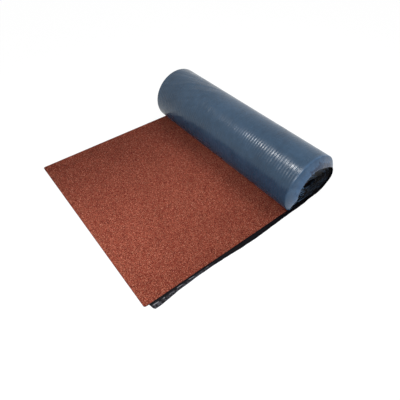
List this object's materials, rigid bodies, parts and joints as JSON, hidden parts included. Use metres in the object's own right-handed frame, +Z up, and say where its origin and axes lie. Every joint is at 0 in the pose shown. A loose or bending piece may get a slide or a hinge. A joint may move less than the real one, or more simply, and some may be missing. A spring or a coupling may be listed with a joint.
{
  "type": "roll of roofing felt",
  "caption": "Part-unrolled roll of mineral-faced roofing felt: granule face up on the flat length, film-backed turns wound round an open bore, bare selvedge along one edge.",
  "frame": {"origin": "centre of the whole roll's footprint, on the floor", "axes": "+X along the roll's axis towards the selvedge end, +Y from the sheet's free end towards the roll, +Z up"},
  "size_m": [1.017, 1.0124, 0.2609],
  "materials": {
    "granule_face": "crushed slate granules in brick red, matt and rough, darker between the grains",
    "backing_film": "thin slate-blue film on the underside, half gloss, with fine ripples that run round the roll",
    "bitumen": "black bitumen at the bare selvedge and the cut edges, wrinkled, dull with small highlights"
  },
  "bodies": {
    "root": {"felt_sheet": "granule_face"}
  },
  "joints": []
}
